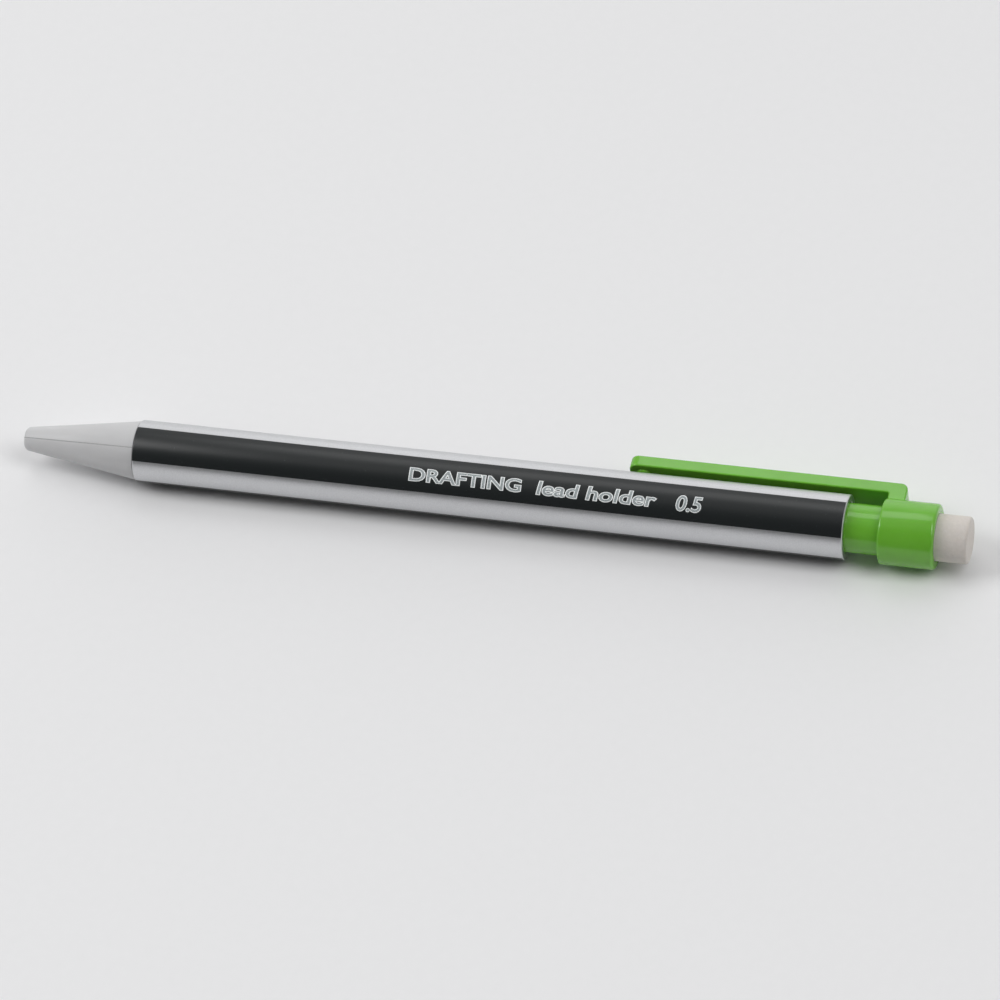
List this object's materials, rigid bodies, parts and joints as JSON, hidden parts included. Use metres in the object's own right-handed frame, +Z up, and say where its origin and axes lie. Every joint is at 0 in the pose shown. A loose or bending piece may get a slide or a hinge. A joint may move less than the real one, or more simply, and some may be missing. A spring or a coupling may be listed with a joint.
{
  "type": "lead holder",
  "caption": "Push-button lead holder: striped round barrel, blunt nose cone, clip moulded in one with the button, refill eraser and a spring-loaded lead chuck inside.",
  "frame": {"origin": "centre of the nose cone's end face, on the pencil's axis", "axes": "+X along the axis from the writing tip to the eraser, +Y towards the clip, +Z up"},
  "size_m": [0.1362, 0.0117, 0.0092],
  "materials": {
    "nose_plastic": "satin moulded",
    "barrel_silver": "silver lacquer with black foil stripes",
    "button_green": "polished moulding",
    "eraser_white": "matte",
    "reservoir_plastic": "natural",
    "mechanism_plastic": "moulded",
    "brass": "turned",
    "spring_steel": "drawn wire",
    "slider_plastic": "moulded",
    "pipe_steel": "drawn tube",
    "retainer_rubber": "matte",
    "lead": "polished graphite"
  },
  "bodies": {
    "holder": {"barrel": "barrel_silver", "nose_cone": "nose_plastic", "mechanism_housing": "mechanism_plastic", "return_spring": "spring_steel"},
    "feed": {"lead_reservoir": "reservoir_plastic", "chuck_coupler": "mechanism_plastic", "chuck": "brass", "spare_leads": "lead"},
    "button": {"push_button": "button_green"},
    "rubber": {"eraser": "eraser_white"},
    "clutch": {"clutch_ring": "brass"},
    "lead": {"lead_in_use": "lead"},
    "sleeve": {"tip_slider": "slider_plastic", "guide_pipe": "pipe_steel", "lead_retainer": "retainer_rubber"}
  },
  "joints": [
    {"name": "push_slide", "type": "slide", "parent": "holder", "child": "feed", "axis": [-1, 0, 0], "range_m": [0, 0.0035], "stiffness_N_per_m": 450, "springref_m": -0.003, "deforming": ["return_spring"]},
    {"name": "button_turn", "type": "hinge", "parent": "feed", "child": "button", "pos_m": [0.1278, 0, 0], "axis": [1, 0, 0], "continuous": true},
    {"name": "eraser_pull", "type": "slide", "parent": "button", "child": "rubber", "axis": [1, 0, 0], "range_m": [0, 0.008]},
    {"name": "clutch_slide", "type": "slide", "parent": "holder", "child": "clutch", "axis": [-1, 0, 0], "range_m": [0, 0.0007]},
    {"name": "lead_feed", "type": "slide", "parent": "holder", "child": "lead", "axis": [-1, 0, 0], "range_m": [0, 0.0007]},
    {"name": "sleeve_slide", "type": "slide", "parent": "holder", "child": "sleeve", "axis": [-1, 0, 0], "range_m": [0, 0.003]}
  ],
  "couplings": [
    {"joint": "clutch_slide", "follows": "push_slide", "ratio": 0.2},
    {"joint": "lead_feed", "follows": "push_slide", "ratio": 0.2},
    {"joint": "sleeve_slide", "follows": "push_slide", "ratio": 0.85714}
  ]
}
